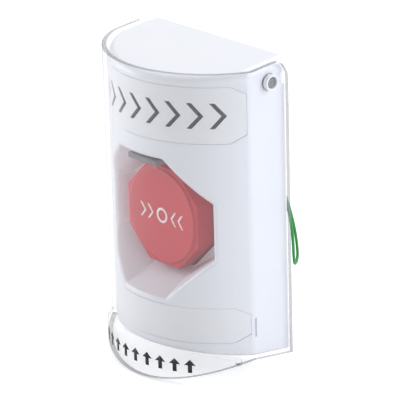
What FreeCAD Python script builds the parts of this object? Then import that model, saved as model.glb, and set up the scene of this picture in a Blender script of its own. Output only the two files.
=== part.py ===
import FreeCAD, Part

import math
import os

import Sketcher
from FreeCAD import Placement, Rotation, Vector

# A wall-mounted evacuation button. A white housing with a bowed front holds a red octagonal
# button in a tapered pocket, and a clear hinged cover wraps its front and both sides.
#
# Frame: millimetres, Z up, the front faces -Y, X to the right of someone who faces the front.
# The origin is the middle of the housing's back, on the wall plane Y = 0.

os.makedirs("parts", exist_ok=True)
doc = FreeCAD.newDocument("EvacuationButton")

# Driving sizes, in millimetres and degrees. A depth is measured forward from the wall plane,
# a rise or drop from the middle of the housing's height.
SIZES = (
    ("cover_width", 87.0, "outside width of the clear cover"),
    ("cover_wall", 2.1, "wall of the cover"),
    ("cover_gap", 0.55, "gap between the cover and the housing"),
    ("front_depth", 49.0, "depth of the cover's bowed front"),
    ("side_depth", 20.6, "depth at which the cover's flat sides meet the bow"),
    ("corner_round", 6.0, "rounding of the housing's upright corners"),
    ("cover_overhang", 0.9, "how far the cover reaches below the housing"),
    ("pivot_depth", 9.1, "depth of the hinge line"),
    ("pivot_drop", 9.0, "hinge line below the housing's rear top edge"),
    ("pin_size", 4.9, "diameter of the hinge pins"),
    ("pin_reach", 2.6, "how far a hinge pin reaches into the housing"),
    ("running_gap", 0.1, "radial clearance of pins and plungers"),
    ("wall_gap", 0.3, "gap between the cover's ears and the wall plane"),
    ("lip_height", 16.3, "height of the leaning lifting lip"),
    ("lip_rise", 2.5, "top of the lip above the cover's bottom edge, at the front"),
    ("lip_angle", 21.5, "lean of the lip from the vertical"),
    ("lip_span", 57.5, "half angle that the lip covers round the bow"),
    ("lip_sweep", 98.0, "radius of the lip's lower edge, seen from the front"),
    ("housing_height", 130.0, "height of the housing at its back"),
    ("top_slope", 5.2, "fall of the housing's top towards the front"),
    ("bottom_slope", 7.4, "rise of the housing's bottom towards the front"),
    ("housing_wall", 2.4, "wall of the housing"),
    ("top_round", 3.5, "rounding of the housing's top edge"),
    ("edge_cut", 0.7, "chamfer of the housing's bottom edge"),
    ("pocket_margin", 9.25, "distance from the button's sides out to the pocket's mouth"),
    ("pocket_drop", 6.6, "centre of the pocket and button"),
    ("pocket_slant", 22.0, "slant of the pocket's walls"),
    ("pocket_round", 1.8, "rounding of the pocket's rim"),
    ("crease_round", 1.0, "rounding of the creases between the pocket's walls"),
    ("floor_depth", 24.5, "depth of the pocket's floor"),
    ("floor_wall", 2.2, "thickness of the pocket's floor and walls"),
    ("label_inset", 0.4, "distance of the label beds from the housing's sides"),
    ("label_corner", 3.4, "cut corners of the label plates"),
    ("label_bed", 0.8, "depth of the label beds"),
    ("label_gap", 0.15, "gap round a label plate"),
    ("upper_label_height", 24.5, "height of the upper label bed"),
    ("upper_label_rise", 44.7, "centre of the upper label bed"),
    ("lower_label_height", 15.8, "height of the lower label bed"),
    ("lower_label_gap", 2.2, "distance of the lower label bed from the pocket's mouth"),
    ("button_size", 43.9, "octagonal button across its flats"),
    ("button_depth", 33.4, "depth of the button's front edge"),
    ("button_wall", 2.2, "wall of the button"),
    ("button_gap", 0.8, "gap between the button and the floor's hole"),
    ("button_travel", 5.0, "press of the button"),
    ("flange_reach", 2.15, "how far the button's rear flange stands out"),
    ("flange_wall", 1.5, "thickness of the button's rear flange"),
    ("flange_gap", 0.3, "gap between the flange and the pocket's floor"),
    ("disc_size", 41.4, "diameter of the raised disc on the button"),
    ("disc_rise", 0.6, "height of the raised disc on the button"),
    ("dish_radius", 420.0, "radius of the disc's shallow dish"),
    ("button_edge", 0.7, "rounding of the button's front edges"),
    ("stem_size", 8.0, "diameter of the stem"),
    ("stem_end_depth", 8.5, "depth of the stem's rear end"),
    ("yoke_wall", 2.0, "thickness of the stem's yoke"),
    ("yoke_width", 28.0, "width of the yoke"),
    ("yoke_arm", 7.0, "height of the yoke's level arm"),
    ("pusher_size", 5.0, "diameter of the yoke's two pushers"),
    ("yoke_screw_span", 22.0, "distance between the two yoke screws"),
    ("boss_size", 6.0, "diameter of the bosses under the button's face"),
    ("boss_height", 2.5, "height of the bosses under the button's face"),
    ("spring_size", 15.6, "outside diameter of the return spring"),
    ("spring_wire", 1.2, "wire of the return spring"),
    ("spring_turns", 5.0, "turns of the return spring"),
    ("carrier_depth", 4.5, "depth of the carrier's front face"),
    ("carrier_wall", 2.0, "thickness of the carrier"),
    ("carrier_width", 60.0, "width of the carrier"),
    ("carrier_height", 38.0, "height of the carrier"),
    ("guide_size", 12.0, "outside diameter of the stem's guide"),
    ("guide_reach", 12.5, "length of the guide in front of the carrier"),
    ("post_size", 5.0, "diameter of the posts in the housing"),
    ("post_side", 26.6, "distance of the carrier posts from the middle"),
    ("post_pitch", 18.0, "upright distance between the carrier posts"),
    ("block_length", 17.0, "length of a contact block"),
    ("block_depth", 12.0, "depth of a contact block, front to back"),
    ("block_height", 9.0, "height of a contact block"),
    ("block_offset", 13.1, "contact blocks above and below the stem"),
    ("plunger_size", 3.6, "diameter of a contact plunger"),
    ("plunger_reach", 6.0, "how far a plunger stands out of its block"),
    ("plunger_length", 12.0, "length of a contact plunger"),
    ("contact_gap", 0.3, "gap between the yoke's posts and the plungers"),
    ("terminal_span", 12.0, "distance between the terminals of a block"),
    ("bar_width", 17.5, "width of the light bar"),
    ("bar_height", 2.2, "thickness of the light bar"),
    ("bar_inset", 2.85, "light bar's front behind the housing's front"),
    ("bar_above", 3.6, "centre of the light bar above the button's flange"),
    ("slot_gap", 0.15, "gap round the light bar in its slot"),
    ("board_width", 27.0, "width of the lamp board"),
    ("board_height", 15.0, "height of the lamp board"),
    ("board_drop", 2.3, "lower edge of the lamp board below the light bar"),
    ("board_wall", 1.6, "thickness of the lamp board"),
    ("lamp_width", 3.2, "width of a lamp"),
    ("lamp_span", 9.0, "distance between the two lamps"),
    ("board_screw_span", 20.0, "distance between the lamp board's screws"),
    ("plate_wall", 1.5, "thickness of the steel back plate"),
    ("plate_gap", 0.3, "gap round the back plate"),
    ("plate_side", 9.2, "distance of the cable opening from the back plate's sides"),
    ("plate_opening_height", 56.0, "height of the cable opening"),
    ("wall_screw_span", 83.3, "upright distance between the wall screws"),
    ("wall_screw_hole", 4.5, "diameter of the wall-screw holes"),
    ("tab_side", 28.0, "distance of the back plate's tabs from the middle"),
    ("tab_width", 9.0, "width of a tab"),
    ("tab_reach", 8.0, "how far a tab stands forward of the back plate"),
    ("screw_size", 2.4, "shank diameter of the fixing screws"),
    ("screw_grip", 8.0, "length of a screw in its post"),
    ("terminal_grip", 3.5, "length of a terminal screw in its block"),
    ("screw_head", 4.6, "head diameter of the fixing screws"),
    ("head_height", 0.8, "head height of the fixing screws"),
    ("earth_inset", 4.75, "distance of the earth screw from the back plate's side"),
    ("earth_rise", 21.5, "earth screw above the middle"),
    ("tag_size", 7.0, "diameter of the ring tag"),
    ("tag_wall", 0.8, "thickness of the ring tag"),
    ("barrel_length", 6.6, "length of the ring tag's barrel"),
    ("lead_size", 1.3, "outside diameter of the green lead"),
)

sheet = doc.addObject("Spreadsheet::Sheet", "Sizes")
for row, (alias, size, meaning) in enumerate(SIZES, start=1):
    sheet.set(f"A{row}", meaning)
    sheet.set(f"B{row}", str(size))
    sheet.setAlias(f"B{row}", alias)
doc.recompute()


def number(expression):
    """The value of an expression that names cells of the sheet."""
    result = sheet.evalExpression(expression)
    return float(getattr(result, "Value", result))


def text(template):
    """An expression in which each [alias] stands for its cell."""
    for alias, _, _ in SIZES:
        template = template.replace(f"[{alias}]", f"Sizes.{alias}")
    return template


# Places that several pieces share, as expressions.
HALF_COVER = text("([cover_width] / 2)")
HALF_HOUSING = text(f"({HALF_COVER} - [cover_wall] - [cover_gap])")
BOW_SAG = text("([front_depth] - [side_depth])")
BOW_RADIUS = text(f"(({HALF_COVER}^2 + {BOW_SAG}^2) / (2 * {BOW_SAG}))")
BOW_CENTRE = text(f"({BOW_RADIUS} - [front_depth])")
HOUSING_RADIUS = text(f"({BOW_RADIUS} - [cover_wall] - [cover_gap])")
HOUSING_FRONT = text(f"({BOW_CENTRE} - {HOUSING_RADIUS})")
HALF_HEIGHT = text("([housing_height] / 2)")
BUTTON_Z = text("(-[pocket_drop])")
POCKET_REACH = text("([button_size] / 2 + [pocket_margin])")
LOWER_LABEL_TOP = text(f"({BUTTON_Z} - {POCKET_REACH} - [lower_label_gap])")
PIVOT_Y = text("(-[pivot_depth])")
PIVOT_Z = text(f"({HALF_HEIGHT} - [pivot_drop])")
FLOOR_FRONT = text("(-[floor_depth])")
FLOOR_REAR = text(f"({FLOOR_FRONT} + [floor_wall])")
BUTTON_FRONT = text("(-[button_depth])")
BUTTON_INSIDE = text(f"({BUTTON_FRONT} + [button_wall])")
FLANGE_FRONT = text(f"({FLOOR_REAR} + [flange_gap])")
FLANGE_REAR = text(f"({FLANGE_FRONT} + [flange_wall])")
YOKE_FRONT = text(f"({BUTTON_INSIDE} + [boss_height])")
YOKE_REAR = text(f"({YOKE_FRONT} + [yoke_wall])")
CARRIER_FRONT = text("(-[carrier_depth])")
CARRIER_REAR = text(f"({CARRIER_FRONT} + [carrier_wall])")
BLOCK_FRONT = text(f"({CARRIER_FRONT} - [block_depth])")
PLUNGER_FRONT = text(f"({BLOCK_FRONT} - [plunger_reach])")
BAR_REAR = text(f"({FLOOR_REAR} - 1.3)")
BOARD_FRONT = text(f"({FLOOR_REAR} + 0.1)")
BOARD_REAR = text(f"({BOARD_FRONT} + [board_wall])")
BAR_FRONT = text(f"({HOUSING_FRONT} + [bar_inset])")
BAR_Z = text(f"({BUTTON_Z} + [button_size] / 2 + [flange_reach] + [bar_above])")
BOARD_BOTTOM = text(f"({BAR_Z} - [board_drop])")
PLATE_FRONT = text("(-[plate_wall])")

REACH = 200.0
DEEPEST = text("([front_depth] + 11)")
OCTAGON_TURN = 22.5


def bind(obj, **expressions):
    """Ties an object's properties to expressions of the sheet's cells."""
    for path, expression in expressions.items():
        obj.setExpression(path, text(str(expression)))
    return obj


def place(obj, x, y, z, rotation=None):
    """Puts an object at expressions for x, y and z, turned by an optional rotation."""
    obj.Placement = Placement(Vector(0, 0, 0), rotation or Rotation())
    for axis, expression in zip("xyz", (x, y, z)):
        obj.setExpression(f"Placement.Base.{axis}", text(str(expression)))
    return obj


def box(name, x, y, z):
    """A box between pairs of expressions for its low and high x, y and z."""
    obj = doc.addObject("Part::Box", name)
    bind(obj, Length=f"({x[1]}) - ({x[0]})", Width=f"({y[1]}) - ({y[0]})", Height=f"({z[1]}) - ({z[0]})")
    return place(obj, x[0], y[0], z[0])


ALONG = {
    "x": Rotation(Vector(0, 1, 0), 90),
    "y": Rotation(Vector(1, 0, 0), -90),
    "z": Rotation(),
}


def rod(name, axis, diameter, start, length):
    """A cylinder along an axis, from the expressions of its start point."""
    obj = doc.addObject("Part::Cylinder", name)
    bind(obj, Radius=f"({diameter}) / 2", Height=length)
    return place(obj, *start, ALONG[axis])


def deep_rod(name, diameter, x, z, y):
    """A cylinder along Y between the pair of expressions y."""
    return rod(name, "y", diameter, (x, y[0], z), f"({y[1]}) - ({y[0]})")


def extrusion(name, outline, direction, length):
    """A solid drawn from a closed outline along a direction."""
    obj = doc.addObject("Part::Extrusion", name)
    obj.Base = outline
    obj.DirMode = "Custom"
    obj.Dir = direction
    obj.Solid = True
    return bind(obj, LengthFwd=length)


def octagon(name, across, y):
    """A regular octagonal prism along Y, centred on the button, with level flats."""
    outline = doc.addObject("Part::RegularPolygon", f"{name}_outline")
    outline.Polygon = 8
    bind(outline, Circumradius=f"({across}) / 2 / cos({OCTAGON_TURN})")
    place(outline, 0, y[0], BUTTON_Z, ALONG["y"] * Rotation(Vector(0, 0, 1), OCTAGON_TURN))
    return extrusion(name, outline, Vector(0, 1, 0), f"({y[1]}) - ({y[0]})")


def fuse(name, *pieces):
    obj = doc.addObject("Part::MultiFuse", name)
    obj.Shapes = list(pieces)
    return obj


def common(name, *pieces):
    obj = doc.addObject("Part::MultiCommon", name)
    obj.Shapes = list(pieces)
    return obj


def several(name, *pieces):
    """One node of separate solids, such as a set of screws."""
    obj = doc.addObject("Part::Compound", name)
    obj.Links = list(pieces)
    return obj


def cut(name, base, *tools):
    """The base less its tools, which are fused first where there are several."""
    obj = doc.addObject("Part::Cut", name)
    obj.Base = base
    obj.Tool = tools[0] if len(tools) == 1 else fuse(f"{name}_tools", *tools)
    return obj


def mirrored(name, source):
    """The same piece on the other side of the middle plane X = 0."""
    obj = doc.addObject("Part::Mirroring", name)
    obj.Source = source
    obj.Normal = Vector(1, 0, 0)
    return obj


def rounded(name, base, radius, chosen, kind="Part::Fillet"):
    """The base with a fillet or chamfer on each edge for which chosen(edge) is true."""
    doc.recompute()
    reach = number(text(radius))
    obj = doc.addObject(kind, name)
    obj.Base = base
    obj.Edges = [(i, reach, reach) for i, edge in enumerate(base.Shape.Edges, start=1) if chosen(edge)]
    doc.recompute()
    return obj


def middle(edge):
    return edge.valueAt((edge.FirstParameter + edge.LastParameter) / 2)


def slope(which, y):
    """The height that the sloping top or bottom gains at a depth y, as an expression."""
    return f"({y}) * tan([{which}_slope])"


def bowed_block(name, half_width, radius, top, bottom, back="0"):
    """A D-shaped block: a tapering block within an upright cylinder, its back at Y = back."""
    block = doc.addObject("Part::Wedge", f"{name}_block")
    front = f"(-{DEEPEST})"
    bind(block, Xmin=f"-{half_width}", Xmax=half_width, X2min=f"-{half_width}", X2max=half_width)
    bind(block, Ymin=front, Ymax=back)
    bind(block, Zmax=f"{top} + {slope('top', front)}", Zmin=f"{bottom} - {slope('bottom', front)}")
    bind(block, Z2max=f"{top} + {slope('top', back)}", Z2min=f"{bottom} - {slope('bottom', back)}")
    bow = rod(f"{name}_bow", "z", f"2 * {radius}", (0, BOW_CENTRE, -REACH), 2 * REACH)
    return common(name, block, bow)


def upright_corner(half_width):
    """Chooses the upright edges where the flat sides meet the bowed front."""
    side = number(half_width)

    def chosen(edge):
        at = middle(edge)
        upright = all(abs(abs(v.X) - side) < 0.01 for v in edge.Vertexes) and edge.Length > side
        return upright and at.y < -5 and abs(edge.tangentAt(edge.FirstParameter).z) > 0.99

    return chosen


def screw(name, x, z, seat, sign, length):
    """A slotted screw along Y: its head stands on the side that sign (1 or -1) points to."""
    head_end = f"{seat} + ({sign}) * [head_height]"
    tip = f"{seat} - ({sign}) * {length}"
    low, high = (seat, head_end) if sign > 0 else (head_end, seat)
    head = deep_rod(f"{name}_head", "[screw_head]", x, z, (low, high))
    slot_floor = f"{seat} + ({sign}) * [head_height] / 2"
    slot_y = (slot_floor, f"{head_end} + 1") if sign > 0 else (f"{head_end} - 1", slot_floor)
    slot = box(f"{name}_slot", (f"{x} - 2", f"{x} + 2"), slot_y, (f"{z} - 0.3", f"{z} + 0.3"))
    shank_y = (tip, seat) if sign > 0 else (seat, tip)
    shank = deep_rod(f"{name}_shank", "[screw_size]", x, z, shank_y)
    return fuse(name, cut(f"{name}_slotted", head, slot), shank)


HOLE = "([screw_size] + 0.2)"
PILOT = "[screw_size] + 0.02"
CORNERS = [(f"{side}_{level}", a, b) for side, a in (("left", -1), ("right", 1))
           for level, b in (("lower", -1), ("upper", 1))]

# Moulded housing: a D-shaped shell, open at the back, with a tapered octagonal pocket.

OUTER = bowed_block("housing_outer", HALF_HOUSING, HOUSING_RADIUS, HALF_HEIGHT, f"(-{HALF_HEIGHT})")
corners = rounded("housing_corners", OUTER, "[corner_round]", upright_corner(HALF_HOUSING))


def on_slope(which):
    """Chooses the edges of the sloping top or bottom, except the one at the back."""
    sign = 1 if which == "top" else -1
    level = number(HALF_HEIGHT)
    fall = math.tan(math.radians(number(text(f"[{which}_slope]"))))

    def chosen(edge):
        spots = [vertex.Point for vertex in edge.Vertexes]
        inside = all(abs(sign * p.z - level - fall * p.y) < 0.02 for p in spots)
        return inside and middle(edge).y < -1

    return chosen


topped = rounded("housing_topped", corners, "[top_round]", on_slope("top"))
trimmed = rounded("housing_trimmed", topped, "[edge_cut]", on_slope("bottom"), "Part::Chamfer")


def ruled_pocket(name, half, floor_y):
    """A form whose mouth is a regular octagon on the bowed front, ruled to a flat floor."""
    radius = number(HOUSING_RADIUS)
    centre_y = number(BOW_CENTRE)
    centre_z = number(BUTTON_Z)
    slant = math.tan(math.radians(number(text("[pocket_slant]"))))
    c = math.tan(math.radians(OCTAGON_TURN))
    mouth = [(c, 1), (1, c), (1, -c), (c, -1), (-c, -1), (-1, -c), (-1, c), (-c, 1)]
    spots = [Vector(x * half, -REACH / 2, centre_z + z * half) for x, z in mouth]
    prism = Part.Face(Part.makePolygon(spots + [spots[0]])).extrude(Vector(0, REACH / 2 - 10, 0))
    bow = Part.makeCylinder(radius, 2 * REACH, Vector(0, centre_y, -REACH))
    front = [f for f in prism.common(bow).Faces if isinstance(f.Surface, Part.Cylinder)][0]

    def foot(p):
        shrink = (half - (floor_y - p.y) * slant) / half
        return Vector(p.x * shrink, floor_y, centre_z + (p.z - centre_z) * shrink)

    faces = [front]
    feet = []
    for edge in front.OuterWire.OrderedEdges:
        a = edge.firstVertex(True).Point
        b = edge.lastVertex(True).Point
        faces.append(Part.makeRuledSurface(edge, Part.LineSegment(foot(a), foot(b)).toShape()))
        feet.append(foot(a))
    faces.append(Part.Face(Part.makePolygon(feet + [feet[0]])))
    shell = Part.makeShell(faces)
    shell.sewShape()
    solid = Part.makeSolid(shell)
    if solid.Volume < 0:
        solid.reverse()
    obj = doc.addObject("Part::Feature", name)
    obj.Shape = solid
    return obj


POCKET_HALF = number(POCKET_REACH)
CUP_HALF = number(text(f"{POCKET_REACH} + [floor_wall] / cos([pocket_slant])"))
pocket = ruled_pocket("housing_pocket", POCKET_HALF, number(FLOOR_FRONT))
cup = ruled_pocket("housing_cup", CUP_HALF, number(FLOOR_REAR))


def pocket_rim(edge):
    """Chooses the pocket's edges on the bowed front."""
    at = middle(edge)
    on_bow = abs(math.hypot(at.x, at.y - number(BOW_CENTRE)) - number(HOUSING_RADIUS)) < 0.02
    in_width = abs(at.x) < POCKET_HALF + 1
    return on_bow and in_width and abs(at.z - number(BUTTON_Z)) < POCKET_HALF + 1


def pocket_crease(edge):
    """Chooses the creases between the pocket's slanting walls."""
    ends = sorted((vertex.Point for vertex in edge.Vertexes), key=lambda p: p.y)
    slants = len(ends) == 2 and ends[1].y - ends[0].y > 1 and abs(ends[1].y - number(FLOOR_FRONT)) < 0.01
    return slants and abs(ends[0].x) < POCKET_HALF + 1


mouth = cut("housing_mouth", trimmed, pocket)
creased = rounded("housing_creased", mouth, "[crease_round]", pocket_crease)
rimmed = rounded("housing_rimmed", creased, "[pocket_round]", pocket_rim)
cavity = bowed_block("housing_cavity", text(f"({HALF_HOUSING} - [housing_wall])"),
                     text(f"({HOUSING_RADIUS} - [housing_wall])"), text(f"({HALF_HEIGHT} - [housing_wall])"),
                     text(f"([housing_wall] - {HALF_HEIGHT})"), "1")
shell = cut("housing_shell", rimmed, cut("housing_hollow", cavity, cup))

posts = []
bores = []
for name, a, b in CORNERS:
    x = f"({a}) * [post_side]"
    z = f"{BUTTON_Z} + ({b}) * [post_pitch] / 2"
    posts.append(deep_rod(f"post_{name}", "[post_size]", x, z, (f"{FLOOR_REAR} - 1", CARRIER_FRONT)))
    bores.append(deep_rod(f"pilot_{name}", PILOT, x, z, (f"{CARRIER_FRONT} - 11", "0")))

BOARD_SCREW_Z = f"({BOARD_BOTTOM} + [board_height] - [screw_head] / 2 - 1.5)"
for side, a in (("left", -1), ("right", 1)):
    x = f"({a}) * [board_screw_span] / 2"
    embed = f"{BOW_CENTRE} - {HOUSING_RADIUS} + [housing_wall] + 0.8"
    posts.append(deep_rod(f"lamp_post_{side}", "[post_size]", x, BOARD_SCREW_Z, (embed, BOARD_FRONT)))
    bores.append(deep_rod(f"lamp_pilot_{side}", PILOT, x, BOARD_SCREW_Z, (f"{BOARD_FRONT} - 8", "0")))
with_posts = fuse("housing_with_posts", shell, *posts)

button_hole = octagon("housing_button_hole", "[button_size] + 2 * [button_gap]",
                      (f"{FLOOR_FRONT} - 1", f"{FLOOR_REAR} + 1"))
bar_slot = box("housing_bar_slot", ("-[bar_width] / 2 - [slot_gap]", "[bar_width] / 2 + [slot_gap]"),
               (BAR_FRONT, BAR_REAR),
               (f"{BAR_Z} - [bar_height] / 2 - [slot_gap]", f"{BAR_Z} + [bar_height] / 2 + [slot_gap]"))


def label_prism(name, height, centre, shrink):
    """An upright prism through the front with cut corners: the outline of a label plate."""
    half = f"({HALF_HOUSING} - [label_inset] - {shrink})"
    rise = f"({height} / 2 - {shrink})"
    low = f"({centre} - {rise})"
    high = f"({centre} + {rise})"
    corner = "[label_corner]"
    outline = [
        (f"{half} - {corner}", low),
        (half, f"{low} + {corner}"),
        (half, f"{high} - {corner}"),
        (f"{half} - {corner}", high),
        (f"{corner} - {half}", high),
        (f"-{half}", f"{high} - {corner}"),
        (f"-{half}", f"{low} + {corner}"),
        (f"{corner} - {half}", low),
    ]
    sketch = doc.addObject("Sketcher::SketchObject", f"{name}_outline")
    sketch.Placement = Placement(Vector(0, 0, 0), Rotation(Vector(1, 0, 0), 90))
    spots = [Vector(number(text(x)), number(text(z)), 0) for x, z in outline]
    count = len(spots)
    for i in range(count):
        sketch.addGeometry(Part.LineSegment(spots[i], spots[(i + 1) % count]), False)
    for i in range(count):
        sketch.addConstraint(Sketcher.Constraint("Coincident", i, 2, (i + 1) % count, 1))
    for i, (x, z) in enumerate(outline):
        for kind, expression, at in (("DistanceX", x, spots[i].x), ("DistanceY", z, spots[i].y)):
            index = sketch.addConstraint(Sketcher.Constraint(kind, -1, 1, i, 1, at))
            sketch.setExpression(f"Constraints[{index}]", text(expression))
    return extrusion(name, sketch, Vector(0, -1, 0), DEEPEST)


LABELS = (
    ("upper", "[upper_label_height]", "[upper_label_rise]"),
    ("lower", "[lower_label_height]", f"({LOWER_LABEL_TOP} - [lower_label_height] / 2)"),
)
BED_RADIUS = f"({HOUSING_RADIUS} - [label_bed])"
beds = []
for level, height, centre in LABELS:
    prism = label_prism(f"{level}_label_bed", height, centre, "0")
    core = rod(f"{level}_label_core", "z", f"2 * {BED_RADIUS}", (0, BOW_CENTRE, -REACH), 2 * REACH)
    beds.append(cut(f"{level}_label_recess", prism, core))
    plate = label_prism(f"{level}_label_prism", height, centre, "[label_gap]")
    under = rod(f"{level}_label_under", "z", f"2 * ({BED_RADIUS} + 0.02)",
                (0, BOW_CENTRE, -REACH), 2 * REACH)
    over = rod(f"{level}_label_over", "z", f"2 * ({HOUSING_RADIUS} - 0.08)",
               (0, BOW_CENTRE, -REACH), 2 * REACH)
    cut(f"{level}_label_plate", common(f"{level}_label_front", plate, over), under)

# Bores for the cover's pins, their lead-in ramps, and the tool slots and screw holes.

BORE = "([pin_size] + 2 * [running_gap])"
RAMP_WIDTH = "([pin_size] + 0.3)"
RAMP_START = "0.4"
REAR_MARGIN = "1"
ramp = doc.addObject("Part::Wedge", "hinge_ramp_right")
bind(ramp, Ymin=PIVOT_Y, Ymax=REAR_MARGIN)
bind(ramp, Xmin=f"{HALF_HOUSING} - {RAMP_START}", X2min=f"{HALF_HOUSING} - [housing_wall] / 2")
bind(ramp, Xmax=f"{HALF_HOUSING} + 1", X2max=f"{HALF_HOUSING} + 1")
bind(ramp, Zmin=f"{PIVOT_Z} - {RAMP_WIDTH} / 2", Zmax=f"{PIVOT_Z} + {RAMP_WIDTH} / 2")
bind(ramp, Z2min=f"{PIVOT_Z} - {RAMP_WIDTH} / 2", Z2max=f"{PIVOT_Z} + {RAMP_WIDTH} / 2")
ring = rod("hinge_ring_right", "x", f"{BORE} + 2.2", (f"{HALF_HOUSING} - 0.3", PIVOT_Y, PIVOT_Z), "2")
bore = rod("hinge_bore", "x", BORE, (f"-{HALF_HOUSING} - 1", PIVOT_Y, PIVOT_Z), f"2 * {HALF_HOUSING} + 2")
SLOT_WIDTH = "1.2"
SLOT_HALF = "4.3"
SLOT_DROP = "1.95"
SLOT_Y = f"({SLOT_WIDTH} - [side_depth])"
SLOT_Z = f"({LOWER_LABEL_TOP} - [lower_label_height] / 2 - {SLOT_DROP})"
tool_slot = box("side_slot_right", (f"{HALF_HOUSING} - 0.7", f"{HALF_HOUSING} + 1"),
                (SLOT_Y, f"{SLOT_Y} + {SLOT_WIDTH}"),
                (f"{SLOT_Z} - {SLOT_HALF}", f"{SLOT_Z} + {SLOT_HALF}"))
side_tools = [ramp, ring, tool_slot]
side_tools += [mirrored(f"{tool.Name}_mirrored", tool) for tool in side_tools]

LUG_Y = f"({PLATE_FRONT} - [tab_reach] + 3.5)"
FOOT_Z = f"({slope('bottom', LUG_Y)} * -1 - {HALF_HEIGHT})"
SEAT_Z = f"({FOOT_Z} + [housing_wall] / 2)"
foot_holes = []
for side, a in (("left", -1), ("right", 1)):
    x = f"({a}) * [tab_side]"
    foot_holes.append(rod(f"foot_hole_{side}", "z", HOLE, (x, LUG_Y, f"{FOOT_Z} - 2"), "[housing_wall] + 4"))
    foot_holes.append(rod(f"foot_sink_{side}", "z", "[screw_head] + 0.4", (x, LUG_Y, f"{FOOT_Z} - 4"),
                          f"{SEAT_Z} - {FOOT_Z} + 4"))

cut("front_housing", with_posts, button_hole, bar_slot, bore, *beds, *bores, *side_tools, *foot_holes)

# Clear cover: a bowed front with two sides, two moulded pins, and a leaning lip to lift it by.

COVER_BACK = "(-[wall_gap])"
COVER_BOTTOM = f"(-{HALF_HEIGHT} - [cover_overhang])"
INNER_HALF = f"({HALF_HOUSING} + [cover_gap])"
INNER_RADIUS = f"({HOUSING_RADIUS} + [cover_gap])"


def cover_block(name, half_width, radius, top, bottom, back, corner):
    block = bowed_block(name, text(half_width), text(radius), text(top), text(bottom), text(back))
    return rounded(f"{name}_rounded", block, corner, upright_corner(text(half_width)))


OUTER_CORNER = "[corner_round] + [cover_gap] + [cover_wall]"
cover_outer = cover_block("cover_outer", HALF_COVER, BOW_RADIUS, HALF_HEIGHT, COVER_BOTTOM, COVER_BACK,
                          OUTER_CORNER)
cover_inner = cover_block("cover_inner", INNER_HALF, INNER_RADIUS, f"({HALF_HEIGHT} + 20)",
                          f"({COVER_BOTTOM} - 20)", "1", "[corner_round] + [cover_gap]")

LIP_TOP = f"({COVER_BOTTOM} - {slope('bottom', '(-[front_depth])')} + [lip_rise])"
LIP_LENGTH = "([lip_height] + 1)"
LIP_LEAN = f"({LIP_LENGTH} * tan([lip_angle]))"


def leaning_lip(name, radius, span):
    """A sector of the bow's circle, drawn upright from in front along the lip's lean."""
    outline = doc.addObject("Part::Circle", f"{name}_outline")
    bind(outline, Radius=radius)
    place(outline, 0, f"{BOW_CENTRE} - {LIP_LEAN}", f"{LIP_TOP} - {LIP_LENGTH}")
    lean = extrusion(name, outline, Vector(0, 0, 1), f"{LIP_LENGTH} / cos([lip_angle])")
    lean.setExpression("Dir.y", text("tan([lip_angle])"))
    sector = doc.addObject("Part::Wedge", f"{name}_sector")
    spread = f"({DEEPEST} + 20) * tan({span})"
    bind(sector, Ymin=f"-({DEEPEST} + 20)", Ymax=0, Xmin=f"-({spread})", Xmax=spread, X2min=0, X2max=0)
    bind(sector, Zmin=-REACH, Z2min=-REACH, Zmax=0, Z2max=0)
    place(sector, 0, BOW_CENTRE, 0)
    return common(f"{name}_part", lean, sector)


lip_outer = leaning_lip("lip_outer", BOW_RADIUS, "[lip_span]")
lip_inner = leaning_lip("lip_inner", INNER_RADIUS, "([lip_span] - 2.5)")

# The front hangs lower than the sides: the lip and an apron beside it end on one swept edge.
sweep = deep_rod("lip_sweep_disc", "2 * [lip_sweep]", 0, f"{LIP_TOP} - [lip_height] + [lip_sweep]",
                 (f"-{DEEPEST} - 20", "0"))
apron_block = cover_block("cover_apron_block", HALF_COVER, BOW_RADIUS, "0", f"({COVER_BOTTOM} - 20)",
                          COVER_BACK, OUTER_CORNER)
apron_front = box("cover_apron_front", (f"-{HALF_COVER} - 1", f"{HALF_COVER} + 1"),
                  (f"-{DEEPEST}", "-[side_depth]"), (f"-{REACH}", "0"))
apron = common("cover_apron", apron_block, apron_front, sweep)
lip = common("lip_swept", lip_outer, sweep)

PIN_ROOT = "([cover_wall] / 4)"
pins = []
for side, a in (("left", -1), ("right", 1)):
    start = f"-{INNER_HALF} - {PIN_ROOT}" if a < 0 else f"{HALF_HOUSING} - [pin_reach]"
    pins.append(rod(f"cover_pin_{side}", "x", "[pin_size]", (start, PIVOT_Y, PIVOT_Z),
                    f"[pin_reach] + [cover_gap] + {PIN_ROOT}"))
ear_box = box("cover_ear_box", (f"-{HALF_COVER} - 1", f"{HALF_COVER} + 1"), (PIVOT_Y, "1"),
              (PIVOT_Z, f"{HALF_HEIGHT} + 5"))
EAR_RADIUS = "([pivot_depth] - [wall_gap])"
ear_disc = rod("cover_ear_disc", "x", f"2 * {EAR_RADIUS}", (f"-{HALF_COVER} - 2", PIVOT_Y, PIVOT_Z),
               f"2 * {HALF_COVER} + 4")
ear_tool = cut("cover_ear_tool", ear_box, ear_disc)
eared = cut("cover_eared", fuse("cover_with_lip", cover_outer, apron, lip), cover_inner, ear_tool,
            lip_inner)
fuse("clear_cover", eared, *pins)

# Red octagonal button: a hollow cap with a rear flange, and a raised disc with a shallow dish.

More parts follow.
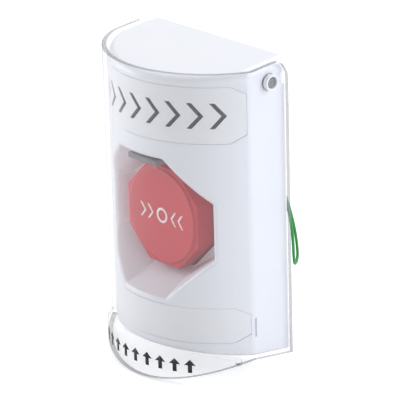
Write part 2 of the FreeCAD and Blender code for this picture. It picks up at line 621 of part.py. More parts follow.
cap_block = octagon("cap_block", "[button_size]", (BUTTON_FRONT, FLANGE_REAR))
cap_body = rounded("cap_body", cap_block, "[button_edge]",
                   lambda edge: abs(middle(edge).y - number(BUTTON_FRONT)) < 0.01)
cap_flange = octagon("cap_flange", "[button_size] + 2 * [flange_reach]", (FLANGE_FRONT, FLANGE_REAR))
disc = deep_rod("cap_disc", "[disc_size]", 0, BUTTON_Z,
                (f"{BUTTON_FRONT} - [disc_rise]", f"{BUTTON_FRONT} + 1"))
dish = doc.addObject("Part::Sphere", "cap_dish")
bind(dish, Radius="[dish_radius]")
place(dish, 0, f"{BUTTON_FRONT} - [disc_rise] - sqrt([dish_radius]^2 - ([disc_size] / 2 - 0.6)^2)", BUTTON_Z)
cap_hollow = octagon("cap_hollow", "[button_size] - 2 * [button_wall]", (BUTTON_INSIDE, f"{FLANGE_REAR} + 1"))
cap_form = cut("cap_form", fuse("cap_solid", cap_body, cap_flange, disc), dish, cap_hollow)
bosses = []
boss_holes = []
cap_screws = []
for side, a in (("left", -1), ("right", 1)):
    x = f"({a}) * [yoke_screw_span] / 2"
    bosses.append(deep_rod(f"cap_boss_{side}", "[boss_size]", x, BUTTON_Z,
                           (f"{BUTTON_INSIDE} - 0.5", YOKE_FRONT)))
    boss_holes.append(deep_rod(f"cap_pilot_{side}", PILOT, x, BUTTON_Z,
                               (f"{BUTTON_INSIDE} - 0.9", YOKE_FRONT)))
    cap_screws.append(screw(f"cap_screw_{side}", x, BUTTON_Z, YOKE_REAR, 1,
                            "([yoke_wall] + [boss_height] + 0.6)"))
cut("button_cap", fuse("cap_with_bosses", cap_form, *bosses), *boss_holes)
several("cap_screws", *cap_screws)

# Stem: a cross-shaped yoke, a round shaft and two posts that push the contact plungers.

arm_x = box("yoke_arm_x", ("-[yoke_width] / 2", "[yoke_width] / 2"), (YOKE_FRONT, YOKE_REAR),
            (f"{BUTTON_Z} - [yoke_arm] / 2", f"{BUTTON_Z} + [yoke_arm] / 2"))
PUSHER_REACH = "([block_offset] + [pusher_size] / 2 + 1.4)"
arm_z = box("yoke_arm_z", ("-[pusher_size] / 2 - 1.4", "[pusher_size] / 2 + 1.4"), (YOKE_FRONT, YOKE_REAR),
            (f"{BUTTON_Z} - {PUSHER_REACH}", f"{BUTTON_Z} + {PUSHER_REACH}"))
shaft = deep_rod("stem_shaft", "[stem_size]", 0, BUTTON_Z, (f"{YOKE_FRONT} + 0.5", "-[stem_end_depth]"))
collar = deep_rod("stem_collar", "[spring_size] - 2 * [spring_wire] - 0.6", 0, BUTTON_Z,
                  (f"{YOKE_REAR} - 0.5", f"{YOKE_REAR} + 1.5"))
pushers = []
for level, b in (("lower", -1), ("upper", 1)):
    z = f"({BUTTON_Z} + ({b}) * [block_offset])"
    pushers.append(deep_rod(f"stem_pusher_{level}", "[pusher_size]", 0, z,
                            (f"{YOKE_REAR} - 0.5", f"{PLUNGER_FRONT} - [contact_gap]")))
yoke_holes = []
for side, a in (("left", -1), ("right", 1)):
    yoke_holes.append(deep_rod(f"yoke_hole_{side}", HOLE, f"({a}) * [yoke_screw_span] / 2", BUTTON_Z,
                               (f"{YOKE_FRONT} - 1", f"{YOKE_REAR} + 1")))
cut("button_stem", fuse("stem_solid", arm_x, arm_z, shaft, collar, *pushers), *yoke_holes)

# Return spring between the yoke and the carrier, wound round the guide.


def coil(name):
    """A coil spring along Y whose ends lie against the yoke and the carrier."""
    wire = number(text("[spring_wire]"))
    mean = number(text("([spring_size] - [spring_wire]) / 2"))
    start = number(YOKE_REAR) + wire / 2
    length = number(CARRIER_FRONT) - wire / 2 - start
    turns = number(text("[spring_turns]"))
    path = Part.makeHelix(length / turns, length, mean)
    angles = [k * math.pi / 3 for k in range(7)]
    hexagon = [Vector(mean + wire / 2 * math.cos(a), 0, wire / 2 * math.sin(a)) for a in angles]
    solid = Part.Wire(path).makePipeShell([Part.makePolygon(hexagon)], True, True)
    obj = doc.addObject("Part::Feature", name)
    obj.Shape = solid
    return place(obj, 0, start, BUTTON_Z, ALONG["y"])


coil("return_spring")

# Carrier: a plate with the stem's guide, screwed to four posts in the housing.

plate = box("carrier_plate", ("-[carrier_width] / 2", "[carrier_width] / 2"), (CARRIER_FRONT, CARRIER_REAR),
            (f"{BUTTON_Z} - [carrier_height] / 2", f"{BUTTON_Z} + [carrier_height] / 2"))
guide = deep_rod("carrier_guide", "[guide_size]", 0, BUTTON_Z,
                 (f"{CARRIER_FRONT} - [guide_reach]", CARRIER_REAR))
carrier_tools = [deep_rod("carrier_bore", "[stem_size] + 2 * [running_gap]", 0, BUTTON_Z, ("-30", "0"))]
carrier_screws = []
for name, a, b in CORNERS:
    x = f"({a}) * [post_side]"
    z = f"{BUTTON_Z} + ({b}) * [post_pitch] / 2"
    carrier_tools.append(deep_rod(f"carrier_hole_{name}", HOLE, x, z, (f"{CARRIER_FRONT} - 1", "0")))
    carrier_screws.append(screw(f"carrier_screw_{name}", x, z, CARRIER_REAR, 1,
                                "([carrier_wall] + [screw_grip])"))
cut("carrier", fuse("carrier_solid", plate, guide), *carrier_tools)
several("carrier_screws", *carrier_screws)

# Contact blocks on the carrier, each with a sliding plunger and two terminal screws.

LEAD_BORE = "([lead_size] + 0.2)"
BLOCK_MIDDLE = text(f"({CARRIER_FRONT} - [block_depth] / 2)")
terminal_screws = []
for level, b in (("lower", -1), ("upper", 1)):
    z = f"({BUTTON_Z} + ({b}) * [block_offset])"
    block = box(f"block_{level}", ("-[block_length] / 2", "[block_length] / 2"), (BLOCK_FRONT, CARRIER_FRONT),
                (f"{z} - [block_height] / 2", f"{z} + [block_height] / 2"))
    tools = [deep_rod(f"block_bore_{level}", "[plunger_size] + 2 * [running_gap]", 0, z,
                      (f"{BLOCK_FRONT} - 1", f"{CARRIER_FRONT} - 0.7"))]
    for side, a in (("left", -1), ("right", 1)):
        x = f"(({a}) * [terminal_span] / 2)"
        tools.append(deep_rod(f"terminal_hole_{level}_{side}", PILOT, x, z,
                              (f"{BLOCK_FRONT} - 1", f"{BLOCK_FRONT} + [terminal_grip] + 0.5")))
        face = f"({z} + ({b}) * [block_height] / 2)"
        tools.append(rod(f"wire_entry_{level}_{side}", "z", LEAD_BORE,
                         (x, BLOCK_MIDDLE, f"{face} - 1.2"), "2.4"))
        terminal_screws.append(screw(f"terminal_{level}_{side}", x, z, BLOCK_FRONT, -1, "[terminal_grip]"))
    cut(f"contact_block_{level}", block, *tools)
    plunger = deep_rod(f"plunger_{level}_rod", "[plunger_size]", 0, z,
                       (PLUNGER_FRONT, f"{PLUNGER_FRONT} + [plunger_length]"))
    rounded(f"contact_plunger_{level}", plunger, "0.4",
            lambda edge: middle(edge).y < number(PLUNGER_FRONT) + 1, "Part::Chamfer")
several("terminal_screws", *terminal_screws)

# Lamp: a light bar in the pocket's upper wall, two light sources and their board.

box("light_bar", ("-[bar_width] / 2", "[bar_width] / 2"), (BAR_FRONT, BAR_REAR),
    (f"{BAR_Z} - [bar_height] / 2", f"{BAR_Z} + [bar_height] / 2"))
lamps = []
board_tools = []
board_screws = []
for side, a in (("left", -1), ("right", 1)):
    x = f"(({a}) * [lamp_span] / 2)"
    lamps.append(box(f"status_led_{side}", (f"{x} - [lamp_width] / 2", f"{x} + [lamp_width] / 2"),
                     (f"{BAR_REAR} + 0.1", BOARD_FRONT),
                     (f"{BAR_Z} - [lamp_width] / 4", f"{BAR_Z} + [lamp_width] / 4")))
    x = f"(({a}) * [board_screw_span] / 2)"
    board_tools.append(deep_rod(f"board_hole_{side}", HOLE, x, BOARD_SCREW_Z,
                                (f"{BOARD_FRONT} - 1", f"{BOARD_REAR} + 1")))
    board_screws.append(screw(f"board_screw_{side}", x, BOARD_SCREW_Z, BOARD_REAR, 1,
                              "([board_wall] + [screw_grip] / 2)"))
several("status_leds", *lamps)
board = box("board_plate", ("-[board_width] / 2", "[board_width] / 2"), (BOARD_FRONT, BOARD_REAR),
            (BOARD_BOTTOM, f"{BOARD_BOTTOM} + [board_height]"))
cut("led_board", board, *board_tools)
several("board_screws", *board_screws)

# Steel back plate: the cable opening, two wall-screw holes, two lugs and two tabs.

INSIDE_HALF = f"({HALF_HOUSING} - [housing_wall] - [plate_gap])"
INSIDE_HEIGHT = f"({HALF_HEIGHT} - [housing_wall] - [plate_gap] - 0.2)"
sheet_plate = box("plate_sheet", (f"-{INSIDE_HALF}", INSIDE_HALF), (PLATE_FRONT, "0"),
                  (f"-{INSIDE_HEIGHT}", INSIDE_HEIGHT))
plate_round = rounded("plate_rounded", sheet_plate, "2",
                      lambda edge: abs(edge.tangentAt(edge.FirstParameter).y) > 0.9)
LUG_BOTTOM = f"({FOOT_Z} + [housing_wall] + 0.5)"
TAB_TOP = f"({INSIDE_HEIGHT} - 0.6)"
flanges = []
plate_tools = []
foot_screws = []
for side, a in (("left", -1), ("right", 1)):
    x = f"(({a}) * [tab_side])"
    width = (f"{x} - [tab_width] / 2", f"{x} + [tab_width] / 2")
    flanges.append(box(f"plate_lug_{side}", width, (f"{PLATE_FRONT} - [tab_reach]", f"{PLATE_FRONT} + 0.5"),
                       (LUG_BOTTOM, f"{LUG_BOTTOM} + [plate_wall]")))
    flanges.append(box(f"plate_tab_{side}", width,
                       (f"{PLATE_FRONT} - [tab_reach] / 2", f"{PLATE_FRONT} + 0.5"),
                       (f"{TAB_TOP} - [plate_wall]", TAB_TOP)))
    plate_tools.append(rod(f"lug_hole_{side}", "z", HOLE, (x, LUG_Y, f"{LUG_BOTTOM} - 1"),
                           "[plate_wall] + 2"))
    head = rod(f"foot_head_{side}", "z", "[screw_head]", (x, LUG_Y, f"{SEAT_Z} - [head_height]"),
               "[head_height]")
    slot = box(f"foot_slot_{side}", (f"{x} - 2", f"{x} + 2"), (f"{LUG_Y} - 0.3", f"{LUG_Y} + 0.3"),
               (f"{SEAT_Z} - [head_height] - 1", f"{SEAT_Z} - [head_height] / 2"))
    shank = rod(f"foot_shank_{side}", "z", "[screw_size]", (x, LUG_Y, SEAT_Z),
                f"{LUG_BOTTOM} + [plate_wall] + 1.5 - {SEAT_Z}")
    foot_screws.append(fuse(f"foot_screw_{side}", cut(f"foot_slotted_{side}", head, slot), shank))
plate_tools.append(box("plate_opening", (f"[plate_side] - {INSIDE_HALF}", f"{INSIDE_HALF} - [plate_side]"),
                       ("-3", "1"), ("-[plate_opening_height] / 2", "[plate_opening_height] / 2")))
for level, b in (("lower", -1), ("upper", 1)):
    plate_tools.append(deep_rod(f"wall_hole_{level}", "[wall_screw_hole]", 0,
                                f"({b}) * [wall_screw_span] / 2", ("-3", "1")))
EARTH_X = f"({INSIDE_HALF} - [earth_inset])"
plate_tools.append(deep_rod("earth_hole", PILOT, EARTH_X, "[earth_rise]", ("-3", "1")))
cut("back_plate", fuse("plate_solid", plate_round, *flanges), *plate_tools)
several("housing_screws", *foot_screws)

# Ring tag under the earth screw, with the green lead in its barrel.

TAG_FRONT = f"({PLATE_FRONT} - [tag_wall])"
TAG_LEFT = f"({EARTH_X} - [tag_size] / 2)"
BARREL = "([lead_size] + 1.3)"
BARREL_Y = f"({PLATE_FRONT} - 0.1 - {BARREL} / 2)"
ring_disc = deep_rod("tag_ring", "[tag_size]", EARTH_X, "[earth_rise]", (TAG_FRONT, PLATE_FRONT))
barrel = rod("tag_barrel", "x", BARREL, (f"{TAG_LEFT} + 0.7 - [barrel_length]", BARREL_Y, "[earth_rise]"),
             "[barrel_length]")
ring_hole = deep_rod("tag_hole", HOLE, EARTH_X, "[earth_rise]", ("-6", "0"))
lead_hole = rod("tag_lead_hole", "x", LEAD_BORE,
                (f"{TAG_LEFT} - [barrel_length] - 1", BARREL_Y, "[earth_rise]"), "[barrel_length] / 2")
cut("ring_tag", fuse("tag_solid", ring_disc, barrel), ring_hole, lead_hole)
screw("earth_screw", EARTH_X, "[earth_rise]", TAG_FRONT, -1, "([tag_wall] + [plate_wall] - 0.2)")

# Green lead: from the upper contact block out of the cable opening, back in a hairpin to the tag.

TAG_X = number(text(TAG_LEFT))
TAG_Z = number(text("[earth_rise]"))
ENTRY_X = number(text("[terminal_span] / 2"))
ENTRY_Y = number(BLOCK_MIDDLE)
ENTRY_Z = number(text(f"{BUTTON_Z} + [block_offset] + [block_height] / 2"))
LEAD_ROUTE = (
    (ENTRY_X, ENTRY_Y, ENTRY_Z - 0.8),
    (ENTRY_X + 0.1, -10.2, ENTRY_Z + 3.6),
    (ENTRY_X + 1.3, -7.2, ENTRY_Z + 7.2),
    (10.0, -1.8, 20.2),
    (14.2, 4.2, 19.0),
    (19.6, 9.2, 14.2),
    (25.0, 11.6, 6.0),
    (29.0, 11.7, -3.5),
    (32.0, 11.9, -13.2),
    (33.0, 12.8, -22.2),
    (33.0, 12.95, -29.02),
    (31.06, 14.6, -31.6),
    (28.32, 17.0, -31.6),
    (26.38, 18.7, -29.02),
    (26.3, 18.8, -22.2),
    (25.1, 17.7, -13.0),
    (23.4, 15.6, -3.6),
    (21.2, 12.2, 5.2),
    (18.6, 7.9, 12.6),
    (17.1, 3.0, 17.2),
    (18.8, -1.1, 20.5),
    (TAG_X - 7.5, -2.8, TAG_Z - 0.1),
    (TAG_X - 4.3, number(text(BARREL_Y)), TAG_Z),
)


SECTION_SIDES = 8


def tube(name, route, diameter):
    """A tube along straight runs that are joined by tangent arcs, with a many-sided section."""
    spots = [Vector(*p) for p in route]
    edges = []
    begin = spots[0]
    least = REACH
    for before, at, after in zip(spots, spots[1:], spots[2:]):
        back = (before - at).normalize()
        onward = (after - at).normalize()
        half_turn = (math.pi - back.getAngle(onward)) / 2
        shorter = min(before.distanceToPoint(at), at.distanceToPoint(after))
        trim = 0.45 * shorter
        radius = trim / math.tan(half_turn)
        least = min(least, radius)
        a = at + back * trim
        b = at + onward * trim
        bisector = (back + onward).normalize()
        mid = at + bisector * (math.hypot(trim, radius) - radius)
        edges.append(Part.LineSegment(begin, a).toShape())
        edges.append(Part.Arc(a, mid, b).toShape())
        begin = b
    edges.append(Part.LineSegment(begin, spots[-1]).toShape())
    path = Part.Wire(edges)
    section = math.pi * diameter ** 2 / 4
    corner = math.sqrt(section / (SECTION_SIDES / 2 * math.sin(2 * math.pi / SECTION_SIDES)))
    circle = Part.makeCircle(corner, spots[0], spots[1] - spots[0])
    ring = Part.makePolygon(circle.discretize(SECTION_SIDES + 1))
    solid = path.makePipeShell([ring], True, False)
    print(name, "length", round(path.Length, 1), "least radius", round(least, 2),
          "volume over section times length", round(solid.Volume / (section * path.Length), 4))
    obj = doc.addObject("Part::Feature", name)
    obj.Shape = solid
    return obj


tube("green_lead", LEAD_ROUTE, number(text("[lead_size]")))

NODES = (
    "front_housing", "clear_cover", "upper_label_plate", "lower_label_plate", "light_bar", "status_leds",
    "led_board", "board_screws", "button_cap", "button_stem", "cap_screws", "return_spring", "carrier",
    "carrier_screws", "contact_block_lower", "contact_block_upper", "contact_plunger_lower",
    "contact_plunger_upper", "terminal_screws", "back_plate", "housing_screws", "ring_tag", "earth_screw",
    "green_lead",
)

doc.recompute()
for obj in doc.Objects:
    assert "Invalid" not in obj.State and "Error" not in obj.State, obj.Name
for name in NODES:
    node = doc.getObject(name)
    assert not node.Shape.isNull() and node.Shape.isValid(), name
    node.Label = name
    node.Shape.exportStep(f"parts/{name}.step")
    bounds = node.Shape.BoundBox
    low = [round(v, 1) for v in (bounds.XMin, bounds.YMin, bounds.ZMin)]
    high = [round(v, 1) for v in (bounds.XMax, bounds.YMax, bounds.ZMax)]
    print(name, "solids", len(node.Shape.Solids), "volume", round(node.Shape.Volume, 1), low, high)
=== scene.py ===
import math

import bmesh
import bpy
from mathutils import Matrix, Vector


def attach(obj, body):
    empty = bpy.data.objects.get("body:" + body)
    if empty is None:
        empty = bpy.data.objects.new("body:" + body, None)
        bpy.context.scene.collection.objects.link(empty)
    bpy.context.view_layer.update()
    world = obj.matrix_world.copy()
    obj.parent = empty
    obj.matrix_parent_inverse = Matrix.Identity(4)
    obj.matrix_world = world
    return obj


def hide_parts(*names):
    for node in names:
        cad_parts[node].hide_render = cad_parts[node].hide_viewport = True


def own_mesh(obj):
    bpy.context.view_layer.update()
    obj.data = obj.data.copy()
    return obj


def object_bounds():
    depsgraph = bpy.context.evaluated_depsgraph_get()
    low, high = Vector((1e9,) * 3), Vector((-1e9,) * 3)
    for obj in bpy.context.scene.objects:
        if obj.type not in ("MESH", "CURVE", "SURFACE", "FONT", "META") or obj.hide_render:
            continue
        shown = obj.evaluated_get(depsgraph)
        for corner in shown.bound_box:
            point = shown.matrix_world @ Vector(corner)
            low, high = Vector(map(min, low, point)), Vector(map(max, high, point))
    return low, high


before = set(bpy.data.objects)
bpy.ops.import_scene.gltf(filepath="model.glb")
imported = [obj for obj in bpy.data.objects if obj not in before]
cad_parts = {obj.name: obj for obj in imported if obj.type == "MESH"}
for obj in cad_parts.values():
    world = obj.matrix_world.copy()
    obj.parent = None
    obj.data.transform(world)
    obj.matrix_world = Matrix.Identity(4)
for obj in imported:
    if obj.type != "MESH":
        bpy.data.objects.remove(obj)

cad_bounds = [list(corner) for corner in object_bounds()]

# Camera: a long lens from the front right and above, as in the photograph. Its distance and
# lens follow from the shape of the housing's edges and of the octagonal button.
mm = 0.001
AIM_AZIMUTH = math.radians(48.73)
AIM_ELEVATION = math.radians(20.36)
AIM_ROLL = math.radians(-1.57)
LENS_MM = 280.2
CAMERA_PLACE = Vector((930.2, -828.5, 453.9)) * mm
FAR_CLIP = 20

back = Vector((math.sin(AIM_AZIMUTH) * math.cos(AIM_ELEVATION),
               -math.cos(AIM_AZIMUTH) * math.cos(AIM_ELEVATION), math.sin(AIM_ELEVATION)))
level = Vector((math.cos(AIM_AZIMUTH), math.sin(AIM_AZIMUTH), 0))
upright = back.cross(level)
across = math.cos(AIM_ROLL) * level + math.sin(AIM_ROLL) * upright
rise = math.cos(AIM_ROLL) * upright - math.sin(AIM_ROLL) * level
camera_data = bpy.data.cameras.new("camera")
camera_data.lens = LENS_MM
camera_data.clip_end = FAR_CLIP
camera = bpy.data.objects.new("camera", camera_data)
facing = Matrix((across, rise, back)).transposed().to_4x4()
camera.matrix_world = Matrix.Translation(CAMERA_PLACE) @ facing
bpy.context.scene.collection.objects.link(camera)
bpy.context.scene.camera = camera

# Green lead: one copper wire in smooth PVC. It leaves the upper contact block, hangs out of the
# cable opening in a narrow hairpin, and comes back to the ring tag on the steel plate.
LEAD_WIDTH = 1.3 * mm
LEAD_ROUTE = (
    (6.0, -10.5, 10.2),
    (6.1, -10.2, 14.6),
    (7.3, -7.2, 18.2),
    (10.0, -1.8, 20.2),
    (14.2, 4.2, 19.0),
    (19.6, 9.2, 14.2),
    (24.4, 11.6, 6.0),
    (27.8, 11.6, -4.0),
    (31.0, 11.6, -13.5),
    (31.9, 11.7, -22.5),
    (32.0, 11.8, -30.6),
    (30.8, 13.6, -33.5),
    (28.4, 17.0, -33.5),
    (27.4, 18.5, -30.6),
    (26.5, 18.4, -22.5),
    (25.0, 17.4, -13.0),
    (23.0, 15.4, -3.6),
    (21.2, 12.2, 5.2),
    (18.6, 7.9, 12.6),
    (17.1, 3.0, 17.2),
    (18.8, -1.1, 20.5),
    (22.4, -2.8, 21.4),
    (25.6, -2.9, 21.5),
)


def srgb(text, alpha=1.0):
    """A linear colour from an sRGB hex value such as 88AA33."""
    parts = [int(text[i:i + 2], 16) / 255 for i in (0, 2, 4)]
    return [p / 12.92 if p <= 0.04045 else ((p + 0.055) / 1.055) ** 2.4 for p in parts] + [alpha]


def node(finish, kind, settings=None, **links):
    """Adds a shader node with its settings, and links sockets given by name or as _number."""
    made = finish.node_tree.nodes.new(kind)
    for key, value in (settings or {}).items():
        if isinstance(key, str) and hasattr(made, key):
            setattr(made, key, value)
        else:
            made.inputs[key].default_value = value
    for key, output in links.items():
        socket = int(key[1:]) if key[1:].isdigit() else key.replace("_", " ")
        finish.node_tree.links.new(output, made.inputs[socket])
    return made


def finish_of(name):
    """A new material with an empty node tree."""
    material = bpy.data.materials.new(name)
    material.use_nodes = True
    material.node_tree.nodes.clear()
    return material


def dressed(piece, material):
    """Gives the piece this material alone."""
    piece.data.materials.clear()
    piece.data.materials.append(material)
    return piece


curve = bpy.data.curves.new("green_wire", "CURVE")
curve.dimensions = "3D"
curve.bevel_depth = LEAD_WIDTH / 2
curve.bevel_resolution = 6
curve.resolution_u = 10
spline = curve.splines.new("NURBS")
spline.points.add(len(LEAD_ROUTE) - 1)
for point, place in zip(spline.points, LEAD_ROUTE):
    point.co = (*(Vector(place) * mm), 1)
spline.order_u = 3
spline.use_endpoint_u = True
green_wire = bpy.data.objects.new("green_wire", curve)
bpy.context.scene.collection.objects.link(green_wire)

# PVC insulation, extruded: an even green with a soft shine, smooth along its whole length.
green_pvc = finish_of("green_pvc_insulation")
insulation = node(green_pvc, "ShaderNodeBsdfPrincipled",
                  {"Base Color": srgb("2E9E45"), "Roughness": 0.35, "IOR": 1.52})
node(green_pvc, "ShaderNodeOutputMaterial", Surface=insulation.outputs[0])
dressed(green_wire, green_pvc)
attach(green_wire, "base")
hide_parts("green_lead")

# Clear cover: one moulding of clear polycarbonate, 2.1 mm thick, that wraps the front and both
# sides. It turns on two moulded pins and is lifted by the lip that stands out along its foot.
HALF_WIDTH = 43.5 * mm
COVER_WALL = 2.1 * mm
BOW_CENTRE = Vector((0, -1.5, 0)) * mm
COVER_BOW = 47.5 * mm
SIDE_DEPTH = 20.6 * mm
COVER_CORNER = 8.65 * mm
COVER_BACK = -0.3 * mm
HALF_HEIGHT = 65.0 * mm
COVER_FOOT = -65.9 * mm
TOP_SLOPE = math.radians(5.2)
BOTTOM_SLOPE = math.radians(7.4)
PIVOT = Vector((0, -9.1, 56.0)) * mm
EAR_RADIUS = 8.8 * mm
EAR_LEVEL = 40.0 * mm
SKIRT_LEVEL = -55.0 * mm
FOLD_TOP = -55.6 * mm
FOLD_SLOPE = math.radians(15.3)
FOLD_STEP = 1.8 * mm
LIP_FOOT = -73.28 * mm
LIP_SPAN = math.radians(57.5)
LIP_SWEEP = 98.0 * mm
SIDE_SKIRT = 12.0 * mm
SPARE = 2.0 * mm
SEAM_REACH, SEAM_GAP = 0.5 * mm, 0.2 * mm
EAR_TURN, EAR_CUTS = math.radians(8), 11
SWEEP_TURN, SWEEP_CUTS = math.radians(2), 14
ON_PLANE = 1e-7
ANGLE_SLACK = 1e-4
FOLD_SLACK = 0.01 * mm
CORNER_STEPS, SHOULDER_STEPS, FRONT_STEPS = 8, 4, 72
X, Y, Z = Vector((1, 0, 0)), Vector((0, 1, 0)), Vector((0, 0, 1))


def piece_of(form, name, body):
    """Makes an object of a bmesh, with outward faces, that rides on a body."""
    bmesh.ops.remove_doubles(form, verts=form.verts, dist=0.001 * mm)
    bmesh.ops.recalc_face_normals(form, faces=form.faces)
    mesh = bpy.data.meshes.new(name)
    form.to_mesh(mesh)
    form.free()
    piece = bpy.data.objects.new(name, mesh)
    bpy.context.scene.collection.objects.link(piece)
    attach(piece, body)
    return piece


def softened(piece, sharp_degrees=30):
    """Smooth shading that keeps the edges sharper than an angle."""
    piece.data.shade_smooth()
    piece.data.set_sharp_from_angle(angle=math.radians(sharp_degrees))
    return piece


def bowed_outline(form, half_width, radius, corner, back, height, lip_span):
    """Spins an open outline: side, rounded corner, bowed front, corner and side, level with z."""
    corner_x = half_width - corner
    corner_y = BOW_CENTRE.y - math.sqrt((radius - corner) ** 2 - corner_x ** 2)
    turn = math.asin(corner_x / (radius - corner))
    quarter = math.pi / 2 - turn
    last = form.verts.new((half_width, back, height))

    def onward(to):
        nonlocal last
        made = bmesh.ops.extrude_vert_indiv(form, verts=[last])["verts"][0]
        made.co = to
        last = made

    def swept(centre, angle, steps):
        nonlocal last
        made = bmesh.ops.spin(form, geom=[last], cent=centre, axis=Z, angle=-angle, steps=steps)
        last = [g for g in made["geom_last"] if isinstance(g, bmesh.types.BMVert)][0]

    onward((half_width, corner_y, height))
    swept((corner_x, corner_y, height), quarter, CORNER_STEPS)
    swept((0, BOW_CENTRE.y, height), turn - lip_span, SHOULDER_STEPS)
    swept((0, BOW_CENTRE.y, height), 2 * lip_span, FRONT_STEPS)
    swept((0, BOW_CENTRE.y, height), turn - lip_span, SHOULDER_STEPS)
    swept((-corner_x, corner_y, height), quarter, CORNER_STEPS)
    onward((-half_width, back, height))


def extruded(form, edges, offset):
    """Extrudes edges by an offset and returns the new edges."""
    made = bmesh.ops.extrude_edge_only(form, edges=edges)["geom"]
    verts = [g for g in made if isinstance(g, bmesh.types.BMVert)]
    bmesh.ops.translate(form, verts=verts, vec=offset)
    fresh = set(verts)
    return [g for g in made
            if isinstance(g, bmesh.types.BMEdge) and all(v in fresh for v in g.verts)]


def sliced(form, kept, place, normal, clear=False):
    """Cuts the faces that aren't kept at a plane, and returns what lies on the cut."""
    faces = [f for f in form.faces if f not in kept]
    geom = list(dict.fromkeys(g for f in faces for g in (f, *f.edges, *f.verts)))
    return bmesh.ops.bisect_plane(form, geom=geom, dist=ON_PLANE, plane_co=place, plane_no=normal,
                                  clear_outer=clear)["geom_cut"]


def bow_angle(vert):
    """How far round the bow a vertex is, from the middle of the front."""
    return math.atan2(vert.co.x - BOW_CENTRE.x, BOW_CENTRE.y - vert.co.y)


def stepped_out(form, edges, out):
    """Extrudes edges level, away from the bow's centre, and returns the new edges."""
    fresh = extruded(form, edges, Vector())
    for vert in {v for e in fresh for v in e.verts}:
        angle = bow_angle(vert)
        vert.co += out * Vector((math.sin(angle), -math.cos(angle), 0))
    return fresh


def is_side(edge):
    """Whether an edge is in one of the cover's sides."""
    return sum(v.co.y for v in edge.verts) > -2 * SIDE_DEPTH


def in_span(item):
    """Whether an edge or face is in the lip's part of the bow."""
    return all(abs(bow_angle(v)) < LIP_SPAN + ANGLE_SLACK for v in item.verts)


cover = bmesh.new()
bowed_outline(cover, HALF_WIDTH, COVER_BOW, COVER_CORNER, COVER_BACK, SKIRT_LEVEL, LIP_SPAN)
outline = list(cover.edges)

# The sides rise to the sloping top, with their rear corners rounded off about the hinge pins,
# and the front's rim between them is level.
raised = extruded(cover, outline, Z * (EAR_LEVEL - SKIRT_LEVEL))
wall = set(cover.faces)
extruded(cover, [e for e in raised if is_side(e)], Z * (HALF_HEIGHT - EAR_LEVEL + SPARE))
top_up = Vector((0, -math.sin(TOP_SLOPE), math.cos(TOP_SLOPE)))
sliced(cover, wall, Z * HALF_HEIGHT, top_up, clear=True)
for step in range(EAR_CUTS):
    ray = Vector((0, math.cos(EAR_TURN * step), math.sin(EAR_TURN * step)))
    sliced(cover, wall, PIVOT + EAR_RADIUS * ray, ray, clear=True)
front_rim = HALF_HEIGHT - SIDE_DEPTH * math.tan(TOP_SLOPE)
extruded(cover, [e for e in raised if not is_side(e)], Z * (front_rim - EAR_LEVEL))

# The sides' feet slope like the housing's bottom.
wall = set(cover.faces)
extruded(cover, [e for e in outline if is_side(e)], -Z * SIDE_SKIRT)
bottom_down = Vector((0, -math.sin(BOTTOM_SLOPE), -math.cos(BOTTOM_SLOPE)))
sliced(cover, wall, Z * COVER_FOOT, bottom_down, clear=True)

# The front hangs lower. At a fold it steps out into the lip, whose foot is one swept line.
wall = set(cover.faces)
fall = SKIRT_LEVEL - LIP_FOOT + SPARE / 2
extruded(cover, [e for e in outline if not is_side(e)], -Z * fall)
fold_place = Vector((0, BOW_CENTRE.y - COVER_BOW, FOLD_TOP))
fold_down = Vector((0, -math.sin(FOLD_SLOPE), -math.cos(FOLD_SLOPE)))
on_fold = sliced(cover, wall, fold_place, fold_down)
fold_edges = [g for g in on_fold if isinstance(g, bmesh.types.BMEdge) and in_span(g)]
below = [f for f in cover.faces if f not in wall and in_span(f)
         and (f.calc_center_median() - fold_place).dot(fold_down) > 0]
bmesh.ops.delete(cover, geom=below, context="FACES")
extruded(cover, stepped_out(cover, fold_edges, FOLD_STEP), -Z * fall)
for side in (-1, 1):
    ends = [v for v in cover.verts if abs(bow_angle(v) - side * LIP_SPAN) < ANGLE_SLACK
            and (v.co - fold_place).dot(fold_down) > -FOLD_SLACK]
    bmesh.ops.contextual_create(cover, geom=ends)
sweep_centre = Z * (LIP_FOOT + LIP_SWEEP)
for step in range(-SWEEP_CUTS, SWEEP_CUTS + 1):
    ray = Vector((math.sin(SWEEP_TURN * step), 0, -math.cos(SWEEP_TURN * step)))
    sliced(cover, wall, sweep_centre + LIP_SWEEP * ray, ray, clear=True)

# Where the sides' cuts meet the front, the points that nearly touch become one.
seam = [v for v in cover.verts if abs(v.co.y + SIDE_DEPTH) < SEAM_REACH]
bmesh.ops.remove_doubles(cover, verts=seam, dist=SEAM_GAP)
clear_cover = piece_of(cover, "clear_cover_moulding", "cover")
wall_maker = clear_cover.modifiers.new("wall", "SOLIDIFY")
wall_maker.thickness = COVER_WALL
wall_maker.offset = -1
wall_maker.use_even_offset = True
wall_maker.material_offset_rim = 1
edge_maker = clear_cover.modifiers.new("edges", "BEVEL")
edge_maker.width = 0.25 * mm
edge_maker.segments = 2
edge_maker.limit_method = "ANGLE"
edge_maker.angle_limit = math.radians(50)
softened(clear_cover, sharp_degrees=40)

